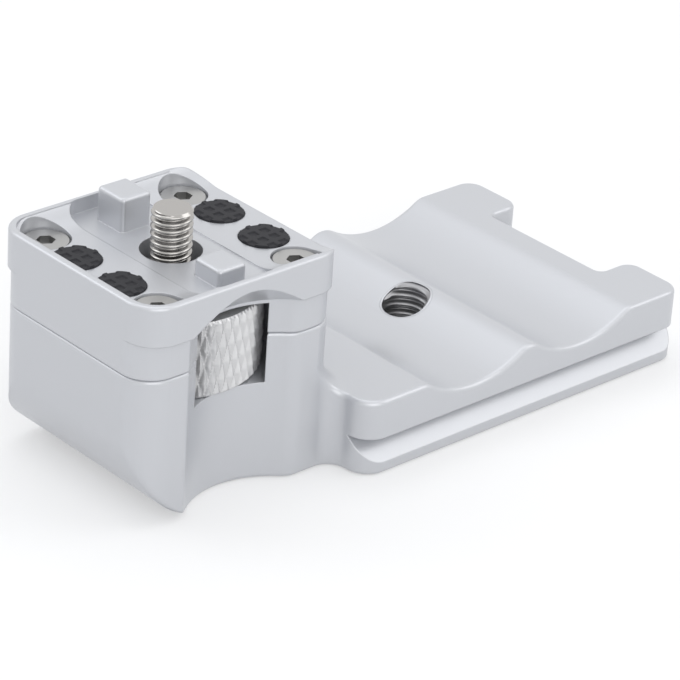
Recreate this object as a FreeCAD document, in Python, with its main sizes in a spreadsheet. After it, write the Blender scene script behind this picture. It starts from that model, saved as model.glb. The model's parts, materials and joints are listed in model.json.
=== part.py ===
"""Lens collar foot: a dovetail plate under a tower whose bolted cap takes the collar of a lens.

Millimetres. The origin is the centre of the flat underside, +X runs along the foot from the
tower to the plate's end, +Z is up. Every length that can be set by itself is a cell of the sheet.
"""
import FreeCAD, Part
import math
import os
from types import SimpleNamespace

import Sketcher

DIMENSIONS = [
    # Overall foot
    ("foot_length", 81.7, "tower end face to plate end"),
    ("plate_width", 38.0, "width over the dovetail"),
    ("plate_height", 9.7, "underside to the ridges of the plate"),
    ("plate_corner", 2.4, "plan radius at the plate's free end"),
    ("neck_radius", 2.4, "concave plan radius between tower and plate"),
    ("neck_flat", 0.05, "straight step between the neck's radius and the plate's corner"),
    ("foot_cove", 3.5, "concave radius where the tower rises from the plate"),
    ("toe_radius", 10.8, "rounding under the tower's end face"),
    ("toe_overrun", 0.05, "how far the toe's full arc would pass the end face"),
    ("edge_radius", 0.6, "rounding of the plate's upper edges"),
    ("sole_radius", 0.5, "rounding of the underside's edges"),
    # Dovetail
    ("dovetail_land", 1.5, "upright land below the slope"),
    ("dovetail_top", 4.75, "height of the groove's roof"),
    # Hand-grip waves across the plate
    ("wave_depth", 2.4, "depth of each hollow below the ridges"),
    ("ridge_radius", 3.0, "rounding of the ridges"),
    # Notch and tripod thread
    ("notch_width", 19.6, "width of the notch in the end lip"),
    ("notch_depth", 5.3, "length of the notch"),
    ("notch_radius", 1.0, "radius of the notch's inner corners"),
    ("prong_radius", 2.0, "radius of the prongs beside the notch"),
    ("tripod_diameter", 6.35, "quarter inch thread, over the crests of the screw"),
    ("tripod_offset", 2.82, "tripod thread to the middle of the ridge beside it"),
    # Tower
    ("head_length", 29.0, "tower and cap along the foot"),
    ("head_width", 26.7, "tower and cap below the flange"),
    ("head_corner", 4.0, "plan radius of the tower and cap"),
    ("side_stock", 0.1, "stock on the tower's sides until the neck is cut"),
    ("base_height", 18.9, "underside to the joint with the cap"),
    ("joint_radius", 0.4, "rounding of the tower's edge at the joint"),
    ("scoop_radius", 11.0, "finger scoop beside the wheel"),
    ("scoop_offset", 21.0, "clamp axis to the scoop's axis"),
    ("scoop_end_lip", 1.0, "rounding of the scoop's edge at the tower's end"),
    ("scoop_plate_lip", 3.0, "rounding of the scoop's edge towards the plate"),
    # Wheel pocket and clamp
    ("pocket_diameter", 24.9, "pocket for the wheel"),
    ("pocket_in_base", 6.3, "pocket depth below the joint"),
    ("pocket_in_cap", 3.9, "pocket depth above the joint"),
    ("wheel_diameter", 22.0, "thumb wheel over the knurl"),
    ("wheel_chamfer", 0.5, "bevel of the wheel's rims"),
    ("wheel_play", 0.1, "axial play below the wheel and above the washer"),
    ("washer_thickness", 0.5, "thrust washer"),
    ("washer_diameter", 17.0, "thrust washer"),
    ("washer_clearance", 0.1, "thrust washer round the screw, on the radius"),
    ("journal_diameter", 8.0, "spigot under the wheel"),
    ("journal_length", 2.8, "spigot under the wheel"),
    ("journal_clearance", 0.05, "spigot in its bore, on the radius"),
    ("journal_end_gap", 0.4, "bore below the spigot"),
    ("clamp_diameter", 4.9, "clamp screw, over the thread's crests"),
    ("clamp_neck", 3.7, "relief below the clamp screw's thread, inside the cap"),
    ("clamp_shank", 5.5, "clamp screw inside the wheel"),
    ("clamp_rise", 5.15, "clamp screw above the deck"),
    ("clamp_chamfer", 0.5, "tip of the clamp screw"),
    # Cap
    ("cap_body", 4.5, "joint to the flange's underside"),
    ("flange_width", 28.0, "flange across the foot"),
    ("deck_thickness", 3.2, "flange's underside to the deck"),
    ("rim_rise", 1.7, "rim above the deck"),
    ("rim_wall", 0.9, "thickness of the rim at the tower's end"),
    ("rim_radius", 0.45, "rounding of the rim's outer edge"),
    ("cap_edge", 0.2, "bevel round the cap at the joint"),
    ("trough_flat", 17.6, "flat part of the deck, across the foot"),
    ("trough_radius", 6.8, "hollow from the deck up to the rim"),
    ("relief_start", 4.2, "joint to the start of the finger relief"),
    ("relief_rise", 10.2, "height of the finger relief's cone"),
    ("channel_width", 10.4, "channel across the deck"),
    ("channel_length", 26.6, "channel across the deck"),
    ("channel_depth", 0.15, "channel below the deck"),
    ("channel_corner", 2.0, "radius of the channel's corners"),
    ("clamp_hole", 7.3, "hole for the clamp screw"),
    # Locating keys
    ("key_width", 4.0, "key along the foot"),
    ("key_length", 4.5, "key across the foot"),
    ("key_offset", 8.6, "clamp axis to the centre of a key"),
    ("tall_key", 4.25, "taller key above the channel"),
    ("low_key", 2.2, "lower key above the channel"),
    ("tall_key_extra", 0.25, "how much wider and longer the taller key is"),
    ("key_radius", 0.5, "rounding of the keys' edges"),
    # Screws that hold the cap
    ("screw_pitch_x", 20.2, "cap screws along the foot"),
    ("screw_pitch_y", 20.1, "cap screws across the foot"),
    ("screw_diameter", 3.0, "cap screws"),
    ("screw_clearance", 0.1, "cap screws in the cap, on the radius"),
    ("screw_grip", 8.7, "thread in the tower"),
    ("screw_end_gap", 0.6, "hole beyond the screw's tip"),
    ("screw_head", 5.7, "head diameter"),
    ("screw_head_height", 2.0, "head height"),
    ("screw_sink", 0.2, "head below the deck"),
    ("screw_hex", 2.0, "socket across flats"),
    ("screw_hex_depth", 1.2, "socket depth"),
    ("screw_head_chamfer", 0.2, "bevel of the head"),
    ("counterbore_clearance", 0.1, "counterbore round the head, on the radius"),
    # Rubber pads
    ("pad_diameter", 5.9, "rubber pad"),
    ("pad_height", 1.1, "rubber pad"),
    ("pad_recess", 0.8, "depth of the pad's seat"),
    ("pad_clearance", 0.05, "seat round the pad, on the radius"),
    ("pad_pitch_x", 21.0, "pads along the foot"),
    ("pad_pitch_y", 7.9, "pads across the foot"),
]

# Places of the hollows as shares of the plate's free length
WAVE_SPACING = 1 / 3
LAST_WAVE = 0.332

MARGIN = 1.0
TOLERANCE = 1e-4
SIDES = (-1, 1)


class Size:
    """A number together with the spreadsheet expression that gives it."""

    def __init__(self, value, text):
        self.value = value
        self.text = text

    def __add__(self, other):
        other = as_size(other)
        return Size(self.value + other.value, f"({self.text} + {other.text})")

    def __sub__(self, other):
        other = as_size(other)
        return Size(self.value - other.value, f"({self.text} - {other.text})")

    def __mul__(self, other):
        other = as_size(other)
        return Size(self.value * other.value, f"({self.text} * {other.text})")

    def __truediv__(self, other):
        other = as_size(other)
        return Size(self.value / other.value, f"({self.text} / {other.text})")

    def __neg__(self):
        return self * -1

    __rmul__ = __mul__


def as_size(thing):
    return thing if isinstance(thing, Size) else Size(float(thing), str(float(thing)))


doc = FreeCAD.newDocument("lens_collar_foot")
sheet = doc.addObject("Spreadsheet::Sheet", "dims")
dim = SimpleNamespace()
for row, (alias, value, meaning) in enumerate(DIMENSIONS, 1):
    sheet.set(f"A{row}", alias)
    sheet.set(f"B{row}", str(value))
    sheet.set(f"C{row}", meaning)
    sheet.setAlias(f"B{row}", alias)
    setattr(dim, alias, Size(value, f"dims.{alias}"))
doc.recompute()

# Places that several pieces share
ZERO = as_size(0)
end_face = dim.foot_length / -2
plate_end = dim.foot_length / 2
shoulder = end_face + dim.head_length
clamp_axis = end_face + dim.head_length / 2
half_plate = dim.plate_width / 2
half_head = dim.head_width / 2
half_length = dim.head_length / 2
half_flange = dim.flange_width / 2
plate_run = plate_end - shoulder
wave_pitch = plate_run * WAVE_SPACING
last_wave = plate_end - plate_run * LAST_WAVE
first_wave = last_wave - wave_pitch
tripod_axis = first_wave + wave_pitch / 2 - dim.tripod_offset
flange_under = dim.base_height + dim.cap_body
deck = flange_under + dim.deck_thickness
rim = deck + dim.rim_rise
channel_floor = deck - dim.channel_depth
pocket_floor = dim.base_height - dim.pocket_in_base
pocket_roof = dim.base_height + dim.pocket_in_cap
wheel_bottom = pocket_floor + dim.wheel_play
wheel_top = pocket_roof - dim.wheel_play - dim.washer_thickness
screw_seat = deck - dim.screw_sink - dim.screw_head_height
screw_tip = dim.base_height - dim.screw_grip
pad_seat = deck - dim.pad_recess
screw_places = [(sx * dim.screw_pitch_x / 2, sy * dim.screw_pitch_y / 2) for sx in SIDES for sy in SIDES]
pad_places = [(sx * dim.pad_pitch_x / 2, sy * dim.pad_pitch_y / 2) for sx in SIDES for sy in SIDES]


def new_body(label, x=ZERO, y=ZERO, z=ZERO):
    """Start a sub-part whose own origin lies at the given place of the foot."""
    body = doc.addObject("PartDesign::Body", label)
    body.Label = label
    for axis, place in zip("xyz", (x, y, z)):
        body.setExpression(f"Placement.Base.{axis}", place.text)
    return body


def new_sketch(body, name, plane, **offset):
    """Start a sketch on one of the body's origin planes, moved by offsets in the sketch's own axes."""
    sketch = body.newObject("Sketcher::SketchObject", name)
    support = next(p for p in body.Origin.OriginFeatures if p.Role == plane)
    sketch.AttachmentSupport = (support, [""])
    sketch.MapMode = "FlatFace"
    for axis, size in offset.items():
        sketch.setExpression(f"AttachmentOffset.Base.{axis}", size.text)
    return sketch


def bind(sketch, constraint, size):
    number = sketch.addConstraint(constraint)
    sketch.setExpression(f"Constraints[{number}]", size.text)


def fix_x(sketch, geometry, point, size):
    bind(sketch, Sketcher.Constraint("DistanceX", -1, 1, geometry, point, size.value), size)


def fix_y(sketch, geometry, point, size):
    bind(sketch, Sketcher.Constraint("DistanceY", -1, 1, geometry, point, size.value), size)


def add_circle(sketch, x, y, radius):
    x, y = as_size(x), as_size(y)
    centre = FreeCAD.Vector(x.value, y.value, 0)
    circle = sketch.addGeometry(Part.Circle(centre, FreeCAD.Vector(0, 0, 1), radius.value), False)
    fix_x(sketch, circle, 3, x)
    fix_y(sketch, circle, 3, y)
    bind(sketch, Sketcher.Constraint("Radius", circle, radius.value), radius)


def add_outline(sketch, corners):
    """Close a profile through its corners.

    A corner is (x, y), followed by a straight side, or (x, y, centre x, centre y, turn), followed by
    an arc about that centre, anticlockwise where turn is 1.
    """
    corners = [tuple(as_size(v) for v in c[:4]) + c[4:] for c in corners]
    sides = []
    for here, there in zip(corners, corners[1:] + corners[:1]):
        start = FreeCAD.Vector(here[0].value, here[1].value, 0)
        stop = FreeCAD.Vector(there[0].value, there[1].value, 0)
        if len(here) == 2:
            sides.append((sketch.addGeometry(Part.LineSegment(start, stop), False), 1, 2))
            continue
        centre = FreeCAD.Vector(here[2].value, here[3].value, 0)
        first, last = (start, stop) if here[4] == 1 else (stop, start)
        angles = [math.atan2(p.y - centre.y, p.x - centre.x) for p in (first, last)]
        if angles[1] <= angles[0]:
            angles[1] += 2 * math.pi
        circle = Part.Circle(centre, FreeCAD.Vector(0, 0, 1), (first - centre).Length)
        arc = sketch.addGeometry(Part.ArcOfCircle(circle, *angles), False)
        sides.append((arc, 1, 2) if here[4] == 1 else (arc, 2, 1))
    for (side, _, tail), (following, head, _) in zip(sides, sides[1:] + sides[:1]):
        sketch.addConstraint(Sketcher.Constraint("Coincident", side, tail, following, head))
    for here, there, (side, head, _) in zip(corners, corners[1:] + corners[:1], sides):
        fix_x(sketch, side, head, here[0])
        fix_y(sketch, side, head, here[1])
        if len(here) > 2 and near(here[1].value, there[1]):
            fix_y(sketch, side, 3, here[3])
        elif len(here) > 2:
            fix_x(sketch, side, 3, here[2])


def add_rectangle(sketch, left, right, low, high):
    add_outline(sketch, [(left, low), (right, low), (right, high), (left, high)])


def add_material(body, name, sketch, length):
    feature = body.newObject("PartDesign::Pad", name)
    feature.Profile = sketch
    feature.setExpression("Length", length.text)
    doc.recompute()
    return feature


def check_cut(body, name, volume_before):
    doc.recompute()
    if body.Shape.Volume > volume_before - TOLERANCE:
        raise RuntimeError(f"{name} removes nothing")


def cut(body, name, sketch, depth=None, upward=False):
    """Pocket a sketch, through everything where no depth is given."""
    volume = body.Shape.Volume
    feature = body.newObject("PartDesign::Pocket", name)
    feature.Profile = sketch
    feature.Reversed = upward
    if depth is None:
        feature.Type = "ThroughAll"
    else:
        feature.setExpression("Length", depth.text)
    check_cut(body, name, volume)


def turn(body, name, sketch):
    """Revolve a profile about its sketch's upright axis."""
    feature = body.newObject("PartDesign::Revolution", name)
    feature.Profile = sketch
    feature.ReferenceAxis = (sketch, ["V_Axis"])
    feature.Angle = 360.0
    doc.recompute()


def turn_away(body, name, sketch):
    volume = body.Shape.Volume
    feature = body.newObject("PartDesign::Groove", name)
    feature.Profile = sketch
    feature.ReferenceAxis = (sketch, ["V_Axis"])
    feature.Angle = 360.0
    check_cut(body, name, volume)


def dress(body, kind, name, size, chosen):
    """Fillet or chamfer the edges that the test picks."""
    base = body.Tip
    names = [f"Edge{i}" for i, edge in enumerate(base.Shape.Edges, 1) if chosen(edge)]
    if not names:
        raise RuntimeError(f"{name} finds no edge")
    feature = body.newObject(f"PartDesign::{kind}", name)
    feature.Base = (base, names)
    feature.setExpression("Radius" if kind == "Fillet" else "Size", size.text)
    doc.recompute()
    if "Invalid" in feature.State or not feature.Shape.isValid():
        raise RuntimeError(f"{name} fails on {names}")


def near(value, size):
    return abs(value - as_size(size).value) < TOLERANCE


def upright_at(x, y):
    """Test for an upright edge that stands at a place, on either side of the foot."""
    def test(edge):
        box = edge.BoundBox
        upright = box.XLength < TOLERANCE and box.YLength < TOLERANCE
        return upright and near(box.XMin, x) and near(abs(box.YMin), y)
    return test


def level_at(z):
    """Test for an edge that lies in a level plane."""
    def test(edge):
        return near(edge.BoundBox.ZMin, z) and near(edge.BoundBox.ZMax, z)
    return test


def build_foot_body():
    """The one-piece milled foot: dovetail plate, tower, wheel pocket and finger scoops."""
    body = new_body("foot_body")
    sketch = new_sketch(body, "plate_plan", "XY_Plane")
    add_rectangle(sketch, end_face, plate_end, -half_plate, half_plate)
    add_material(body, "plate", sketch, dim.plate_height)
    sketch = new_sketch(body, "tower_plan", "XY_Plane")
    half_stock = half_head + dim.side_stock
    add_rectangle(sketch, end_face, shoulder, -half_stock, half_stock)
    add_material(body, "tower", sketch, dim.base_height)
    dress(body, "Fillet", "tower_corners", dim.head_corner, upright_at(shoulder, half_stock))

    def tower_foot(edge):
        box = edge.BoundBox
        inside = box.XMax < shoulder.value + TOLERANCE and abs(box.Center.y) < half_stock.value + TOLERANCE
        on_end = near(box.XMin, end_face) and near(box.XMax, end_face)
        return inside and level_at(dim.plate_height)(edge) and not on_end

    dress(body, "Fillet", "tower_cove", dim.foot_cove, tower_foot)
    trim_beside_tower(body)
    dress(body, "Fillet", "end_corners", dim.head_corner, upright_at(end_face, half_head))
    dress(body, "Fillet", "plate_corners", dim.plate_corner, upright_at(plate_end, half_plate))
    cut_scoops(body, clamp_axis)
    dress(body, "Fillet", "sole_edges", dim.sole_radius, level_at(0))
    round_toe(body)
    cut_waves(body)
    cut_notch(body)
    round_plate_edges(body)
    cut_tripod_hole(body)
    cut_dovetail(body)
    cut_tower_openings(body)
    return body


def trim_beside_tower(body):
    """Narrow the foot beside the tower; the neck's radius and the plate's corner share the step as an S."""
    outside = half_plate + MARGIN
    neck = dim.neck_radius
    corner = half_plate - half_head - neck - dim.neck_flat
    for side in SIDES:
        sketch = new_sketch(body, f"neck_plan_{'near' if side < 0 else 'far'}", "XY_Plane")
        add_outline(sketch, [
            (end_face - MARGIN, side * half_head),
            (shoulder - neck, side * half_head, shoulder - neck, side * (half_head + neck), side),
            (shoulder, side * (half_head + neck)),
            (shoulder, side * (half_plate - corner), shoulder + corner, side * (half_plate - corner), -side),
            (shoulder + corner, side * half_plate),
            (shoulder + corner, side * outside),
            (end_face - MARGIN, side * outside),
        ])
        cut(body, f"neck_{'near' if side < 0 else 'far'}", sketch, upward=True)


def round_toe(body):
    """Sweep a large rounding under the tower's end face."""
    toe = dim.toe_radius
    front = end_face - dim.toe_overrun
    sketch = new_sketch(body, "toe_profile", "XZ_Plane", z=half_plate + MARGIN)
    add_outline(sketch, [
        (front, toe, front + toe, toe, 1),
        (front + toe, 0),
        (front + toe, -MARGIN),
        (front - MARGIN, -MARGIN),
        (front - MARGIN, toe),
    ])
    cut(body, "toe", sketch)


def cut_waves(body):
    """Two hollows across the plate that flow over rounded ridges, every arc tangent to the next."""
    top = dim.plate_height
    half = wave_pitch / 2
    ridge = dim.ridge_radius
    span = (half * half / dim.wave_depth + dim.wave_depth) / 2
    hollow = span - ridge
    ridge_height = top - ridge
    hollow_height = top - dim.wave_depth + hollow
    reach = half * hollow / span
    joint = hollow_height - hollow * (span - dim.wave_depth) / span
    corners = [(first_wave - half, top, first_wave - half, ridge_height, -1)]
    for place in (first_wave, last_wave):
        corners.append((place - reach, joint, place, hollow_height, 1))
        corners.append((place + reach, joint, place + half, ridge_height, -1))
    corners += [(last_wave + half, top), (last_wave + half, top + MARGIN), (first_wave - half, top + MARGIN)]
    sketch = new_sketch(body, "wave_profile", "XZ_Plane", z=half_plate + MARGIN)
    add_outline(sketch, corners)
    cut(body, "waves", sketch)


def cut_notch(body):
    """The notch in the end lip leaves a rounded prong on each side."""
    sketch = new_sketch(body, "notch_plan", "XY_Plane")
    half_notch = dim.notch_width / 2
    add_rectangle(sketch, plate_end - dim.notch_depth, plate_end + MARGIN, -half_notch, half_notch)
    cut(body, "notch", sketch, upward=True)
    dress(body, "Fillet", "notch_corners", dim.notch_radius,
          upright_at(plate_end - dim.notch_depth, half_notch))
    dress(body, "Fillet", "prongs", dim.prong_radius, upright_at(plate_end, half_notch))


def cut_tripod_hole(body):
    sketch = new_sketch(body, "tripod_plan", "XY_Plane")
    add_circle(sketch, tripod_axis, 0, dim.tripod_diameter / 2)
    cut(body, "tripod_hole", sketch, upward=True)


def round_plate_edges(body):
    """Soften the plate's upper edge; the rounding runs on round the corners, the prongs and the notch."""
    def side_edge(edge):
        box = edge.BoundBox
        on_side = box.YLength < TOLERANCE and near(abs(box.YMin), half_plate)
        return on_side and box.ZMin > dim.dovetail_top.value and box.XLength > TOLERANCE
    dress(body, "Fillet", "plate_edges", dim.edge_radius, side_edge)


def cut_dovetail(body):
    """A groove with a 45 degree floor along each side leaves the clamp's dovetail below it."""
    depth = dim.dovetail_top - dim.dovetail_land
    sketch = new_sketch(body, "dovetail_profile", "YZ_Plane", z=plate_end + MARGIN)
    for side in SIDES:
        add_outline(sketch, [
            (side * half_plate, dim.dovetail_land),
            (side * (half_plate + MARGIN), dim.dovetail_land),
            (side * (half_plate + MARGIN), dim.dovetail_top),
            (side * (half_plate - depth), dim.dovetail_top),
        ])
    cut(body, "dovetail", sketch)


def cut_tower_openings(body):
    """Wheel pocket, journal bore and the tapped holes for the cap."""
    dress(body, "Fillet", "joint_edges", dim.joint_radius, level_at(dim.base_height))
    sketch = new_sketch(body, "pocket_plan", "XY_Plane", z=dim.base_height)
    add_circle(sketch, clamp_axis, 0, dim.pocket_diameter / 2)
    cut(body, "wheel_pocket", sketch, dim.pocket_in_base)
    sketch = new_sketch(body, "journal_plan", "XY_Plane", z=pocket_floor)
    add_circle(sketch, clamp_axis, 0, dim.journal_diameter / 2 + dim.journal_clearance)
    cut(body, "journal_bore", sketch, dim.journal_length - dim.wheel_play + dim.journal_end_gap)
    sketch = new_sketch(body, "tapped_plan", "XY_Plane", z=dim.base_height)
    for x, y in screw_places:
        add_circle(sketch, clamp_axis + x, y, dim.screw_diameter / 2)
    cut(body, "tapped_holes", sketch, dim.screw_grip + dim.screw_end_gap)


def cut_scoops(body, axis):
    """Hollow both sides for the fingers; the lips are tight at the tower's end and soft towards the plate."""
    sketch = new_sketch(body, f"{body.Label}_scoop_plan", "XY_Plane")
    for side in SIDES:
        add_circle(sketch, axis, side * dim.scoop_offset, dim.scoop_radius)
    cut(body, f"{body.Label}_scoops", sketch, upward=True)

    def lip(towards_plate):
        def test(edge):
            box = edge.BoundBox
            upright = box.XLength < TOLERANCE and box.YLength < TOLERANCE
            at_side = near(abs(box.YMin), half_head)
            inside = abs(box.XMin - axis.value) < dim.scoop_radius.value
            return upright and at_side and inside and (box.XMin > axis.value) == towards_plate
        return test

    dress(body, "Fillet", f"{body.Label}_end_lips", dim.scoop_end_lip, lip(False))
    dress(body, "Fillet", f"{body.Label}_plate_lips", dim.scoop_plate_lip, lip(True))


def build_cap():
    """The bolted cap: trough-shaped deck with rim, channel, two keys and the seats of screws and pads."""
    body = new_body("cap", x=clamp_axis)
    sketch = new_sketch(body, "cap_plan", "XY_Plane", z=dim.base_height)
    add_rounded_rectangle(sketch, half_length, half_head, dim.head_corner)
    add_material(body, "cap_block", sketch, dim.cap_body)
    cut_scoops(body, ZERO)
    dress(body, "Chamfer", "cap_edges", dim.cap_edge, level_at(dim.base_height))
    sketch = new_sketch(body, "flange_plan", "XY_Plane", z=flange_under)
    add_rounded_rectangle(sketch, half_length, half_flange, dim.head_corner)
    add_material(body, "flange", sketch, dim.deck_thickness + dim.rim_rise)
    shape_deck(body)
    add_keys(body)
    cut_cap_openings(body)
    cut_reliefs(body)
    return body


def shape_deck(body):
    """Hollow the deck along the foot, close its end with the rim and mill the channel across it."""
    flat = dim.trough_flat / 2
    radius = dim.trough_radius
    sketch = new_sketch(body, "trough_profile", "YZ_Plane", z=half_length + MARGIN)
    add_outline(sketch, [
        (-flat - radius, deck + radius, -flat, deck + radius, 1),
        (-flat, deck),
        (flat, deck, flat, deck + radius, 1),
        (flat + radius, deck + radius),
    ])
    cut(body, "trough", sketch)
    corner = dim.head_corner
    inner = dim.rim_wall
    arm = half_length - corner
    sketch = new_sketch(body, "rim_plan", "XY_Plane", z=flange_under)
    add_outline(sketch, [
        (arm, -half_flange),
        (arm, -half_flange + inner),
        (-half_length + corner, -half_flange + inner, -half_length + corner, -half_flange + corner, -1),
        (-half_length + inner, -half_flange + corner),
        (-half_length + inner, half_flange - corner, -half_length + corner, half_flange - corner, -1),
        (-half_length + corner, half_flange - inner),
        (arm, half_flange - inner),
        (arm, half_flange),
        (-half_length + corner, half_flange, -half_length + corner, half_flange - corner, 1),
        (-half_length, half_flange - corner),
        (-half_length, -half_flange + corner, -half_length + corner, -half_flange + corner, 1),
        (-half_length + corner, -half_flange),
    ])
    add_material(body, "rim", sketch, dim.deck_thickness + dim.rim_rise)

    def outer_rim(edge):
        box = edge.BoundBox
        outside = near(box.XMin, -half_length) or near(max(box.YMax, -box.YMin), half_flange)
        return outside and level_at(rim)(edge)

    dress(body, "Fillet", "rim_edges", dim.rim_radius, outer_rim)
    half_x = dim.channel_width / 2
    half_y = dim.channel_length / 2
    sketch = new_sketch(body, "channel_plan", "XY_Plane", z=rim)
    add_rounded_rectangle(sketch, half_x, half_y, dim.channel_corner)
    cut(body, "channel", sketch, dim.rim_rise + dim.channel_depth)


def add_rounded_rectangle(sketch, half_x, half_y, radius):
    add_outline(sketch, [
        (-half_x + radius, -half_y),
        (half_x - radius, -half_y, half_x - radius, -half_y + radius, 1),
        (half_x, -half_y + radius),
        (half_x, half_y - radius, half_x - radius, half_y - radius, 1),
        (half_x - radius, half_y),
        (-half_x + radius, half_y, -half_x + radius, half_y - radius, 1),
        (-half_x, half_y - radius),
        (-half_x, -half_y + radius, -half_x + radius, -half_y + radius, 1),
    ])


def add_keys(body):
    """Two locating keys stand on the channel's floor, the taller one on the far side."""
    low = ("low_key", -1, dim.low_key, ZERO)
    tall = ("tall_key", 1, dim.tall_key, dim.tall_key_extra)
    for name, side, height, extra in (low, tall):
        middle = side * dim.key_offset
        half_x = (dim.key_width + extra) / 2
        half_y = (dim.key_length + extra) / 2
        sketch = new_sketch(body, f"{name}_plan", "XY_Plane", z=channel_floor)
        add_rectangle(sketch, -half_x, half_x, middle - half_y, middle + half_y)
        add_material(body, name, sketch, height)

        def key_edge(edge):
            box = edge.BoundBox
            beside = abs(box.Center.x) < half_x.value + TOLERANCE
            along = abs(box.Center.y - middle.value) < half_y.value + TOLERANCE
            return beside and along and box.ZMax > (channel_floor + height).value - TOLERANCE

        dress(body, "Fillet", f"{name}_edges", dim.key_radius, key_edge)


def cut_cap_openings(body):
    """Clamp hole, wheel pocket, counterbored screw holes and pad seats."""
    sketch = new_sketch(body, "clamp_plan", "XY_Plane", z=rim)
    add_circle(sketch, 0, 0, dim.clamp_hole / 2)
    cut(body, "clamp_bore", sketch)
    sketch = new_sketch(body, "cap_pocket_plan", "XY_Plane", z=dim.base_height)
    add_circle(sketch, 0, 0, dim.pocket_diameter / 2)
    cut(body, "cap_pocket", sketch, dim.pocket_in_cap, upward=True)
    sketch = new_sketch(body, "counterbore_plan", "XY_Plane", z=rim)
    for x, y in screw_places:
        add_circle(sketch, x, y, dim.screw_head / 2 + dim.counterbore_clearance)
    cut(body, "counterbores", sketch, rim - screw_seat)
    sketch = new_sketch(body, "screw_hole_plan", "XY_Plane", z=screw_seat)
    for x, y in screw_places:
        add_circle(sketch, x, y, dim.screw_diameter / 2 + dim.screw_clearance)
    cut(body, "screw_holes", sketch)
    sketch = new_sketch(body, "pad_plan", "XY_Plane", z=deck)
    for x, y in pad_places:
        add_circle(sketch, x, y, dim.pad_diameter / 2 + dim.pad_clearance)
    cut(body, "pad_seats", sketch, dim.pad_recess)


def cut_reliefs(body):
    """Each scoop ends in the flange, in a cone that clears the finger."""
    start = dim.base_height + dim.relief_start
    for side in SIDES:
        name = "near" if side < 0 else "far"
        sketch = new_sketch(body, f"relief_profile_{name}", "XZ_Plane", z=-side * dim.scoop_offset)
        add_outline(sketch, [(0, start), (dim.scoop_radius, start), (0, start + dim.relief_rise)])
        turn_away(body, f"relief_{name}", sketch)


def build_thumb_wheel():
    """The wheel with the spigot that turns in the tower."""
    body = new_body("thumb_wheel", x=clamp_axis)
    bore = dim.clamp_shank / 2
    journal = dim.journal_diameter / 2
    outer = dim.wheel_diameter / 2
    bevel = dim.wheel_chamfer
    sketch = new_sketch(body, "wheel_profile", "XZ_Plane")
    add_outline(sketch, [
        (bore, wheel_bottom - dim.journal_length),
        (journal, wheel_bottom - dim.journal_length),
        (journal, wheel_bottom),
        (outer - bevel, wheel_bottom),
        (outer, wheel_bottom + bevel),
        (outer, wheel_top - bevel),
        (outer - bevel, wheel_top),
        (bore, wheel_top),
    ])
    turn(body, "wheel", sketch)
    return body


def build_thrust_washer():
    """The washer that lies on the wheel, under the cap."""
    body = new_body("thrust_washer", x=clamp_axis, z=wheel_top)
    sketch = new_sketch(body, "washer_plan", "XY_Plane")
    add_circle(sketch, 0, 0, dim.washer_diameter / 2)
    add_circle(sketch, 0, 0, dim.clamp_diameter / 2 + dim.washer_clearance)
    add_material(body, "washer", sketch, dim.washer_thickness)
    return body


def build_clamp_screw():
    """The stud that is fixed in the wheel and draws the lens collar down."""
    body = new_body("clamp_screw", x=clamp_axis)
    radius = dim.clamp_diameter / 2
    tip = deck + dim.clamp_rise
    sketch = new_sketch(body, "clamp_profile", "XZ_Plane")
    add_outline(sketch, [
        (0, wheel_bottom - dim.journal_length),
        (dim.clamp_shank / 2, wheel_bottom - dim.journal_length),
        (dim.clamp_shank / 2, wheel_top),
        (dim.clamp_neck / 2, wheel_top),
        (dim.clamp_neck / 2, deck),
        (radius, deck),
        (radius, tip - dim.clamp_chamfer),
        (radius - dim.clamp_chamfer, tip),
        (0, tip),
    ])
    turn(body, "stud", sketch)
    return body


def build_cap_screws():
    """Four low-head socket screws, one group of separate solids."""
    body = new_body("cap_screws", x=clamp_axis)
    body.AllowCompound = True
    head_top = screw_seat + dim.screw_head_height
    sketch = new_sketch(body, "head_plan", "XY_Plane", z=screw_seat)
    for x, y in screw_places:
        add_circle(sketch, x, y, dim.screw_head / 2)
    add_material(body, "heads", sketch, dim.screw_head_height)
    dress(body, "Chamfer", "head_bevels", dim.screw_head_chamfer, level_at(head_top))
    sketch = new_sketch(body, "shank_plan", "XY_Plane", z=screw_tip)
    for x, y in screw_places:
        add_circle(sketch, x, y, dim.screw_diameter / 2)
    add_material(body, "shanks", sketch, screw_seat - screw_tip)
    sketch = new_sketch(body, "hex_plan", "XY_Plane", z=head_top)
    half_flats = dim.screw_hex / 2
    slope = math.tan(math.radians(30))
    for x, y in screw_places:
        add_outline(sketch, [
            (x + half_flats, y - half_flats * slope),
            (x + half_flats, y + half_flats * slope),
            (x, y + half_flats * 2 * slope),
            (x - half_flats, y + half_flats * slope),
            (x - half_flats, y - half_flats * slope),
            (x, y - half_flats * 2 * slope),
        ])
    cut(body, "sockets", sketch, dim.screw_hex_depth)
    return body


def build_pads():
    """Four rubber grip pads, each in its seat in the deck."""
    pads = []
    for number, (x, y) in enumerate(pad_places, 1):
        body = new_body(f"grip_pad_{number}", x=clamp_axis + x, y=y, z=pad_seat)
        sketch = new_sketch(body, f"grip_plan_{number}", "XY_Plane")
        add_circle(sketch, 0, 0, dim.pad_diameter / 2)
        add_material(body, f"grip_{number}", sketch, dim.pad_height)
        pads.append(body)
    return pads


def check_document():
    """Stop if any feature has failed."""
    for thing in doc.Objects:
        if {"Invalid", "Error"} & set(thing.State):
            raise RuntimeError(f"{thing.Name} failed: {thing.State}")


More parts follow.
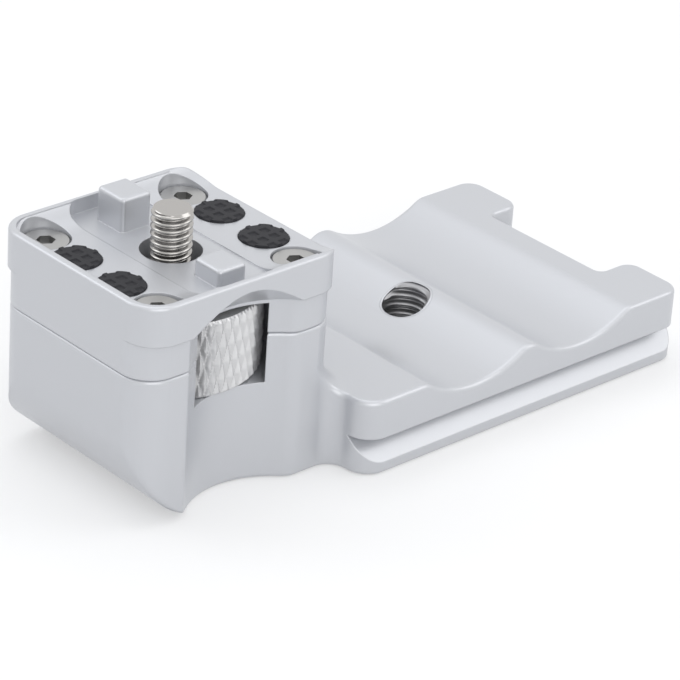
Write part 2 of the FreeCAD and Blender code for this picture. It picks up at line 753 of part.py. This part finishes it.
def write_parts(bodies):
    """Write each sub-part to its own file once all of them are sound."""
    for body in bodies:
        if body.Shape.isNull() or not body.Shape.isValid():
            raise RuntimeError(f"{body.Label} is not a sound solid")
    os.makedirs("parts", exist_ok=True)
    for body in bodies:
        body.Shape.exportStep(f"parts/{body.Label}.step")
        box = body.Shape.BoundBox
        print(f"{body.Label}: {len(body.Shape.Solids)} solids, {body.Shape.Volume:.1f} mm3, "
              f"z {box.ZMin:.2f} to {box.ZMax:.2f}")


bodies = [build_foot_body(), build_cap(), build_cap_screws(), build_thumb_wheel(), build_thrust_washer(),
          build_clamp_screw(), *build_pads()]
doc.recompute()
check_document()
write_parts(bodies)
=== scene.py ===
"""Looks of the lens collar foot: finishes, thread, knurl and waffle, light and the photo's camera."""
import json
import math
import bpy
from mathutils import Matrix, Vector


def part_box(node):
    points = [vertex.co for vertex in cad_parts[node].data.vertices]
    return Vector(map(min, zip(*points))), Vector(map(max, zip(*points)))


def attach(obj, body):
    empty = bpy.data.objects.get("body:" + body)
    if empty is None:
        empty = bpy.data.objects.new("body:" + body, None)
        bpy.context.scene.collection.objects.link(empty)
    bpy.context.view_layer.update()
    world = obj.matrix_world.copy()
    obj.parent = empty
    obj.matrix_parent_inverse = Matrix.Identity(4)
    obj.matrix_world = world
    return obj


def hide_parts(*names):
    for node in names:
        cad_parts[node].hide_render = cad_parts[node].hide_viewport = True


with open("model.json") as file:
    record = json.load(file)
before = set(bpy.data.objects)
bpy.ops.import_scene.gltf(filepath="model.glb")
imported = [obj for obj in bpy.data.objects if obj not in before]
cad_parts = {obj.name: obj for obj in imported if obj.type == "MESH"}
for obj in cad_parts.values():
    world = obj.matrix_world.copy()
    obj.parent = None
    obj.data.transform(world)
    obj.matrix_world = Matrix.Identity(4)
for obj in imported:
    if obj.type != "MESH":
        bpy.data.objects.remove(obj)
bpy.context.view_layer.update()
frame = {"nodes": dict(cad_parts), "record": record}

MM = 0.001
TURN = 2 * math.pi

# Camera solved from the photo: millimetres, degrees and the photo's pixels
FOCAL_PIXELS = 3562.14
PICTURE_PIXELS = 680
CAMERA_AZIMUTH = -43.66
CAMERA_ELEVATION = 27.77
CAMERA_ROLL = 3.93
CAMERA_TARGET = (-10.85, 0.0, 10.0)
CAMERA_SHIFT = (-8.65, 0.01, 421.22)
CAMERA_CLIP = (0.02, 20.0)
SENSOR_WIDTH = 36.0

# Wheel and its knurl, in millimetres
KNURL_RIDGES = 54
KNURL_DEPTH = 0.5
KNURL_LEAN = math.radians(17)
KNURL_SHARPNESS = 1.3
KNURL_STEPS = 10
KNURL_ROWS = 72
WHEEL_BEVEL = 0.5
SPIGOT_RADIUS = 4.0
SPIGOT_LENGTH = 2.8
SHANK_RADIUS = 2.75

# Threads, in millimetres
STUD_PITCH = 0.88
STUD_DEPTH = 0.5
STUD_CREST = 2.45
STUD_NECK = 22.2
STUD_BEVEL = 0.3
STUD_RUN_OUT = 0.2
TRIPOD_PITCH = 1.27
TRIPOD_DEPTH = 0.65
TRIPOD_MOUTH = 0.27
TRIPOD_RUN_OUT = 0.5
TRIPOD_FOOT = 0.6
THREAD_SHARPNESS = 1.4
THREAD_SEGMENTS = 120
THREAD_ROWS = 20
FLUSH = 0.01
EMBEDDED = 0.02
ABOVE_ALL = 100.0

# Waffle of the pads, in millimetres
WAFFLE_PITCH = 1.7
WAFFLE_RIB = 0.7
WAFFLE_DEPTH = 0.16
WAFFLE_SLOPE = 0.15
PAD_RINGS = 60
PAD_SEGMENTS = 200
PAD_EDGE = 0.1
PAD_PROUD = 0.3
PAD_MIDDLE = 0.02

# Edges steeper than these stay sharp, in degrees
CREASE = 30
STUD_CREASE = 40
TRIPOD_CREASE = 50

# Blasted edges look rounded by this much, in millimetres, and the toe's corners by more
EDGE_SOFTNESS = 0.2
TOE_SOFTNESS = 1.5
TOE_REACH = (-37.0, -34.0)
TOE_HEIGHT = (9.5, 11.5)
EDGE_SAMPLES = 8

# Finishes: colour, metallic and roughness
BLASTED = ((0.555, 0.565, 0.590), 0.5, 0.36)
FINISHES = {
    "body_metal": BLASTED,
    "cap_metal": BLASTED,
    # The tripod thread's metal is darker than the plate's, as painted shade for the inside of its deep hole
    "painted_shade_thread": ((0.34, 0.34, 0.35), 1.0, 0.38),
    "wheel_metal": ((0.64, 0.64, 0.645), 0.6, 0.33),
    "stud_metal": ((0.46, 0.447, 0.43), 1.0, 0.2),
    "screw_metal": ((0.46, 0.458, 0.452), 1.0, 0.34),
    "washer_plastic": ((0.012, 0.012, 0.013), 0.0, 0.6),
    "pad_rubber": ((0.016, 0.016, 0.020), 0.0, 0.55),
}
PAD_GLOSS = 0.3
GRAIN_SCALE = 5200.0
GRAIN_DETAIL = 2.0
GRAIN_STRENGTH = 0.12
GRAIN_HEIGHT = 0.02

# Floor and room, in metres and levels of white
FLOOR_REACH = 3.0
FLOOR_DROP = 0.0001
FLOOR_FINISH = ((0.80, 0.80, 0.80), 0.0, 0.9)
FLOOR_GLOW = 0.38
FLOOR_MATT = (0.55, 0.55, 0.55, 1.0)
ROOM_HEIGHTS = (-0.2, 1.0)
ROOM_LEVELS = (0.45, 0.95)
ROOM_COLOUR = (0.97, 0.98, 1.0, 1.0)
WHITE = (1.0, 1.0, 1.0, 1.0)

# Soft boxes: place and size in metres, power in watts, colour
NEUTRAL = (1.0, 1.0, 1.0)
COOL = (0.95, 0.97, 1.0)
LAMPS = {
    "top_box": ((0.05, 0.15, 0.75), 0.65, 1.1, COOL),
    "right_box": ((0.46, -0.35, 0.48), 0.42, 0.72, NEUTRAL),
    "back_box": ((-0.37, 0.51, 0.49), 0.4, 0.75, COOL),
    "front_box": ((-0.27, -0.57, 0.33), 0.6, 1.4, NEUTRAL),
}


def wave(value):
    """Triangle wave: 0 at whole numbers, 1 half way between them."""
    part = value % 1.0
    return 2 * min(part, 1 - part)


def ease(value):
    """Smooth step from 0 to 1."""
    value = max(0.0, min(1.0, value))
    return value * value * (3 - 2 * value)


def add_piece(name, rings, body, material, replaced=None, closed=False):
    """Make a piece from rings of points, joined in order, and let it ride on a body."""
    count = len(rings[0])
    points = [tuple(c * MM for c in p) for ring in rings for p in ring]
    faces = []
    pairs = list(zip(range(len(rings)), range(1, len(rings))))
    if closed:
        pairs.append((len(rings) - 1, 0))
    for low, high in pairs:
        for i in range(count):
            j = (i + 1) % count
            faces.append((low * count + i, low * count + j, high * count + j, high * count + i))
    if not closed:
        faces.append(tuple(reversed(range(count))))
        faces.append(tuple(range((len(rings) - 1) * count, len(rings) * count)))
    mesh = bpy.data.meshes.new(name)
    mesh.from_pydata(points, [], faces)
    mesh.update()
    piece = bpy.data.objects.new(name, mesh)
    bpy.context.scene.collection.objects.link(piece)
    mesh.materials.append(material)
    mesh.shade_smooth()
    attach(piece, body)
    if replaced:
        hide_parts(replaced)
    return piece


def sharpen(piece, degrees):
    """Shade smooth only across edges flatter than the given angle."""
    bpy.context.view_layer.objects.active = piece
    piece.select_set(True)
    bpy.ops.object.shade_smooth_by_angle(angle=math.radians(degrees))
    piece.select_set(False)


def ring(x, y, z, radius, count):
    """One ring of points; z and radius are numbers, or functions of the angle."""
    points = []
    for i in range(count):
        angle = TURN * i / count
        level = z(angle) if callable(z) else z
        reach = radius(angle, level) if callable(radius) else radius
        points.append((x + reach * math.cos(angle), y + reach * math.sin(angle), level))
    return points


def middle(node):
    """Centre of a node in plan, its height range and its radius, in millimetres."""
    low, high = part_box(node)
    centre = (low + high) / 2 / MM
    return centre.x, centre.y, low.z / MM, high.z / MM, (high.x - low.x) / 2 / MM


def build_wheel(material):
    """The thumb wheel with its diamond knurl and the spigot below it."""
    x, y, low, high, outer = middle("thumb_wheel")
    bottom = low + SPIGOT_LENGTH
    count = KNURL_RIDGES * KNURL_STEPS
    lean = math.tan(KNURL_LEAN) / (TURN * outer / KNURL_RIDGES)

    def rim(angle, z):
        around = KNURL_RIDGES * angle / TURN
        groove = max(1 - wave(around + lean * z), 1 - wave(around - lean * z))
        bevel = WHEEL_BEVEL - min(z - bottom, high - z, WHEEL_BEVEL)
        return min(outer - KNURL_DEPTH * groove ** KNURL_SHARPNESS, outer - bevel)

    rings = [ring(x, y, low, SHANK_RADIUS, count), ring(x, y, low, SPIGOT_RADIUS, count),
             ring(x, y, bottom, SPIGOT_RADIUS, count)]
    for row in range(KNURL_ROWS + 1):
        rings.append(ring(x, y, bottom + (high - bottom) * row / KNURL_ROWS, rim, count))
    rings.append(ring(x, y, high, SHANK_RADIUS, count))
    piece = add_piece("knurled_wheel", rings, "clamp", material, "thumb_wheel", closed=True)
    sharpen(piece, CREASE)


def thread_depth(turns):
    """Depth of a rounded thread, 0 on its wide crest and 1 at its narrow root."""
    return (0.5 - 0.5 * math.cos(TURN * turns)) ** THREAD_SHARPNESS


def build_stud(material):
    """The clamp stud with its thread, which runs out just below its end."""
    x, y, low, high, _ = middle("clamp_screw")

    def radius(angle, z):
        fade = ease((high - z) / STUD_RUN_OUT)
        depth = STUD_DEPTH * thread_depth(z / STUD_PITCH - angle / TURN) * fade
        bevel = max(0.0, z - (high - STUD_BEVEL))
        return min(STUD_CREST - depth, STUD_CREST - bevel)

    rings = [ring(x, y, z, SHANK_RADIUS, THREAD_SEGMENTS) for z in (low, STUD_NECK)]
    rows = round((high - STUD_NECK) / STUD_PITCH * THREAD_ROWS)
    for row in range(rows + 1):
        rings.append(ring(x, y, STUD_NECK + (high - STUD_NECK) * row / rows, radius, THREAD_SEGMENTS))
    piece = add_piece("threaded_stud", rings, "clamp", material, "clamp_screw")
    sharpen(piece, STUD_CREASE)


def surface_height(piece, x, y):
    """Height of a piece's upper surface above a place, all in millimetres."""
    inverse = piece.matrix_world.inverted()
    above = inverse @ (Vector((x, y, ABOVE_ALL)) * MM)
    down = inverse.to_3x3() @ Vector((0.0, 0.0, -1.0))
    _, place, _, _ = piece.ray_cast(above, down)
    return (piece.matrix_world @ place).z / MM


def build_tripod_thread(hole_shade, plate):
    """The quarter inch thread inside the plate's hole, with a rim that is level with the plate's hollow."""
    mount = next(m for m in frame["record"]["mounts"] if m["name"] == "tripod_thread")
    x, y = (c / MM for c in mount["pos_m"][:2])
    wall = mount["dims"]["r_mm"]
    outer = wall + EMBEDDED
    foot = frame["nodes"]["foot_body"]
    mouths = []
    for i in range(THREAD_SEGMENTS):
        angle = TURN * i / THREAD_SEGMENTS
        height = surface_height(foot, x + outer * math.cos(angle), y + outer * math.sin(angle))
        mouths.append(height - FLUSH)

    def mouth(angle):
        return mouths[round(angle / TURN * THREAD_SEGMENTS) % THREAD_SEGMENTS]

    def radius(angle, z):
        crest = 1 - thread_depth(z / TRIPOD_PITCH - angle / TURN)
        inside = ease((mouth(angle) - z) / TRIPOD_RUN_OUT)
        return wall - TRIPOD_MOUTH - (TRIPOD_DEPTH * crest - TRIPOD_MOUTH) * inside

    rings = [ring(x, y, TRIPOD_FOOT, outer, THREAD_SEGMENTS), ring(x, y, mouth, outer, THREAD_SEGMENTS)]
    rows = round(max(mouths) / TRIPOD_PITCH * THREAD_ROWS)
    for row in range(rows, -1, -1):
        share = row / rows
        rings.append(ring(x, y, lambda a, s=share: TRIPOD_FOOT + (mouth(a) - TRIPOD_FOOT) * s,
                          radius, THREAD_SEGMENTS))
    # The thread's darker metal is painted shade for the inside of the hole
    piece = add_piece("tripod_thread", rings, "foot", hole_shade, closed=True)

    # The second band of faces is the rim, which has the plate's finish
    piece.data.materials.append(plate)
    for face in piece.data.polygons[THREAD_SEGMENTS:2 * THREAD_SEGMENTS]:
        face.material_index = 1
    sharpen(piece, TRIPOD_CREASE)


def build_pad(node, material):
    """A rubber pad with square dimples between ribs."""
    x, y, low, high, outer = middle(node)

    def dimple(px, py):
        edges = []
        for value in (px, py):
            to_rib = abs((value / WAFFLE_PITCH) % 1.0 - 0.5) * WAFFLE_PITCH
            edges.append(ease((WAFFLE_PITCH / 2 - WAFFLE_RIB / 2 - to_rib) / WAFFLE_SLOPE + 0.5))
        return edges[0] * edges[1]

    rings = [ring(x, y, low, PAD_MIDDLE, PAD_SEGMENTS), ring(x, y, low, outer, PAD_SEGMENTS)]
    rings.append(ring(x, y, high - PAD_PROUD, outer, PAD_SEGMENTS))
    for row in range(PAD_RINGS, 0, -1):
        reach = (outer - PAD_EDGE) * row / PAD_RINGS
        points = []
        for i in range(PAD_SEGMENTS):
            px = reach * math.cos(TURN * i / PAD_SEGMENTS)
            py = reach * math.sin(TURN * i / PAD_SEGMENTS)
            points.append((x + px, y + py, high - WAFFLE_DEPTH * dimple(px, py)))
        rings.append(points)
    piece = add_piece(f"{node}_waffle", rings, "foot", material, node)
    sharpen(piece, CREASE)


def new_material(name, finish):
    """A plain principled finish; returns the material and its shader."""
    colour, metallic, roughness = finish
    material = bpy.data.materials.new(name)
    material.use_nodes = True
    shader = material.node_tree.nodes["Principled BSDF"]
    shader.inputs["Base Color"].default_value = (*colour, 1.0)
    shader.inputs["Metallic"].default_value = metallic
    shader.inputs["Roughness"].default_value = roughness
    return material, shader


def add_grain(material, shader):
    """A fine grain that tilts the surface slightly, fixed to the object, over softened edges."""
    nodes = material.node_tree.nodes
    links = material.node_tree.links
    place = nodes.new("ShaderNodeTexCoord")
    soft = nodes.new("ShaderNodeBevel")
    soft.samples = EDGE_SAMPLES
    soft.inputs["Radius"].default_value = EDGE_SOFTNESS * MM
    noise = nodes.new("ShaderNodeTexNoise")
    noise.inputs["Scale"].default_value = GRAIN_SCALE
    noise.inputs["Detail"].default_value = GRAIN_DETAIL
    bump = nodes.new("ShaderNodeBump")
    bump.inputs["Strength"].default_value = GRAIN_STRENGTH
    bump.inputs["Distance"].default_value = GRAIN_HEIGHT * MM
    links.new(place.outputs["Object"], noise.inputs["Vector"])
    links.new(noise.outputs["Fac"], bump.inputs["Height"])
    links.new(soft.outputs["Normal"], bump.inputs["Normal"])
    links.new(bump.outputs["Normal"], shader.inputs["Normal"])
    return place, soft


def soften_toe(material, place, soft):
    """Round the edges more at the tower's toe, by their place on the foot."""
    nodes = material.node_tree.nodes
    links = material.node_tree.links
    split = nodes.new("ShaderNodeSeparateXYZ")
    links.new(place.outputs["Object"], split.inputs["Vector"])
    both = nodes.new("ShaderNodeMath")
    both.operation = "MULTIPLY"
    for axis, limits, socket in (("X", TOE_REACH, both.inputs[0]), ("Z", TOE_HEIGHT, both.inputs[1])):
        share = nodes.new("ShaderNodeMapRange")
        share.inputs["From Min"].default_value = limits[0] * MM
        share.inputs["From Max"].default_value = limits[1] * MM
        share.inputs["To Min"].default_value = 1.0
        share.inputs["To Max"].default_value = 0.0
        links.new(split.outputs[axis], share.inputs["Value"])
        links.new(share.outputs["Result"], socket)
    width = nodes.new("ShaderNodeMapRange")
    width.inputs["To Min"].default_value = EDGE_SOFTNESS * MM
    width.inputs["To Max"].default_value = TOE_SOFTNESS * MM
    links.new(both.outputs["Value"], width.inputs["Value"])
    links.new(width.outputs["Result"], soft.inputs["Radius"])


def make_materials():
    """One finish for each slot of the record, and a darker one for the tripod thread, which is painted
    shade for its deep hole.
    """
    made = {}
    for name, finish in FINISHES.items():
        made[name], shader = new_material(name, finish)
        if finish is BLASTED:
            place, soft = add_grain(made[name], shader)
        if name == "body_metal":
            soften_toe(made[name], place, soft)
        if name == "pad_rubber":
            shader.inputs["Specular IOR Level"].default_value = PAD_GLOSS
    return made


def paint_nodes(materials):
    """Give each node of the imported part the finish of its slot."""
    slots = {row["node"]: row["material_slot"] for row in frame["record"]["subparts"]}
    for node, piece in frame["nodes"].items():
        piece.data.materials.clear()
        piece.data.materials.append(materials[slots[node]])


def make_camera():
    """The photo's camera: a long lens, slightly rolled."""
    azimuth, elevation, roll = (math.radians(a) for a in (CAMERA_AZIMUTH, CAMERA_ELEVATION, CAMERA_ROLL))
    back = Vector((math.sin(azimuth) * math.cos(elevation), -math.cos(azimuth) * math.cos(elevation),
                   math.sin(elevation)))
    level = Vector((math.cos(azimuth), math.sin(azimuth), 0.0))
    upright = back.cross(level)
    right = level * math.cos(roll) + upright * math.sin(roll)
    up = upright * math.cos(roll) - level * math.sin(roll)
    along, above, away = CAMERA_SHIFT
    place = (Vector(CAMERA_TARGET) - right * along - up * above + back * away) * MM
    data = bpy.data.cameras.new("photo_camera")
    data.sensor_width = SENSOR_WIDTH
    data.lens = FOCAL_PIXELS / PICTURE_PIXELS * SENSOR_WIDTH
    data.clip_start, data.clip_end = CAMERA_CLIP
    camera = bpy.data.objects.new("photo_camera", data)
    bpy.context.scene.collection.objects.link(camera)
    camera.matrix_world = Matrix.Translation(place) @ Matrix((right, up, back)).transposed().to_4x4()
    bpy.context.scene.camera = camera


def add_seen(owner):
    """Nodes that give 1 to rays that show the backdrop: from the camera, or by way of gloss or glass."""
    nodes = owner.node_tree.nodes
    links = owner.node_tree.links
    path = nodes.new("ShaderNodeLightPath")
    total = path.outputs["Is Camera Ray"]
    for kind in ("Is Glossy Ray", "Is Transmission Ray"):
        either = nodes.new("ShaderNodeMath")
        either.operation = "MAXIMUM"
        links.new(total, either.inputs[0])
        links.new(path.outputs[kind], either.inputs[1])
        total = either.outputs["Value"]
    return total


def make_floor():
    """A pale floor that looks white, apart from the foot's own soft shadow."""
    mesh = bpy.data.meshes.new("floor")
    corners = [(-1, -1), (1, -1), (1, 1), (-1, 1)]
    mesh.from_pydata([(FLOOR_REACH * x, FLOOR_REACH * y, 0.0) for x, y in corners], [], [(0, 1, 2, 3)])
    floor = bpy.data.objects.new("floor", mesh)
    floor.location.z = -FLOOR_DROP
    bpy.context.scene.collection.objects.link(floor)
    material, shader = new_material("floor", FLOOR_FINISH)
    nodes = material.node_tree.nodes
    links = material.node_tree.links
    glow = nodes.new("ShaderNodeEmission")
    glow.inputs["Strength"].default_value = FLOOR_GLOW
    matt = nodes.new("ShaderNodeBsdfDiffuse")
    matt.inputs["Color"].default_value = FLOOR_MATT
    white = nodes.new("ShaderNodeAddShader")
    mix = nodes.new("ShaderNodeMixShader")
    links.new(glow.outputs["Emission"], white.inputs[0])
    links.new(matt.outputs["BSDF"], white.inputs[1])
    links.new(add_seen(material), mix.inputs[0])
    links.new(shader.outputs["BSDF"], mix.inputs[1])
    links.new(white.outputs["Shader"], mix.inputs[2])
    links.new(mix.outputs["Shader"], nodes["Material Output"].inputs["Surface"])
    mesh.materials.append(material)


def make_world():
    """White behind the object, and a soft grey room round it that is lighter above."""
    world = bpy.data.worlds.new("room")
    bpy.context.scene.world = world
    world.use_nodes = True
    nodes = world.node_tree.nodes
    links = world.node_tree.links
    nodes.clear()
    place = nodes.new("ShaderNodeTexCoord")
    split = nodes.new("ShaderNodeSeparateXYZ")
    ramp = nodes.new("ShaderNodeMapRange")
    ramp.inputs["From Min"].default_value, ramp.inputs["From Max"].default_value = ROOM_HEIGHTS
    ramp.inputs["To Min"].default_value, ramp.inputs["To Max"].default_value = ROOM_LEVELS
    room = nodes.new("ShaderNodeBackground")
    room.inputs["Color"].default_value = ROOM_COLOUR
    white = nodes.new("ShaderNodeBackground")
    white.inputs["Color"].default_value = WHITE
    mix = nodes.new("ShaderNodeMixShader")
    output = nodes.new("ShaderNodeOutputWorld")
    links.new(place.outputs["Generated"], split.inputs["Vector"])
    links.new(split.outputs["Z"], ramp.inputs["Value"])
    links.new(ramp.outputs["Result"], room.inputs["Strength"])
    links.new(add_seen(world), mix.inputs[0])
    links.new(room.outputs["Background"], mix.inputs[1])
    links.new(white.outputs["Background"], mix.inputs[2])
    links.new(mix.outputs["Shader"], output.inputs["Surface"])


def make_lamps():
    """Square soft boxes that face the foot."""
    for name, (place, size, power, colour) in LAMPS.items():
        data = bpy.data.lights.new(name, "AREA")
        data.size = size
        data.energy = power
        data.color = colour
        lamp = bpy.data.objects.new(name, data)
        lamp.location = place
        lamp.rotation_mode = "QUATERNION"
        lamp.rotation_quaternion = (-Vector(place)).to_track_quat("-Z", "Y")
        bpy.context.scene.collection.objects.link(lamp)


def main():
    materials = make_materials()
    paint_nodes(materials)
    build_wheel(materials["wheel_metal"])
    build_stud(materials["stud_metal"])
    build_tripod_thread(materials["painted_shade_thread"], materials["body_metal"])
    for node in sorted(frame["nodes"]):
        if node.startswith("grip_pad"):
            build_pad(node, materials["pad_rubber"])
    make_floor()
    make_world()
    make_lamps()
    make_camera()
    bpy.context.scene.view_settings.view_transform = "Standard"


main()
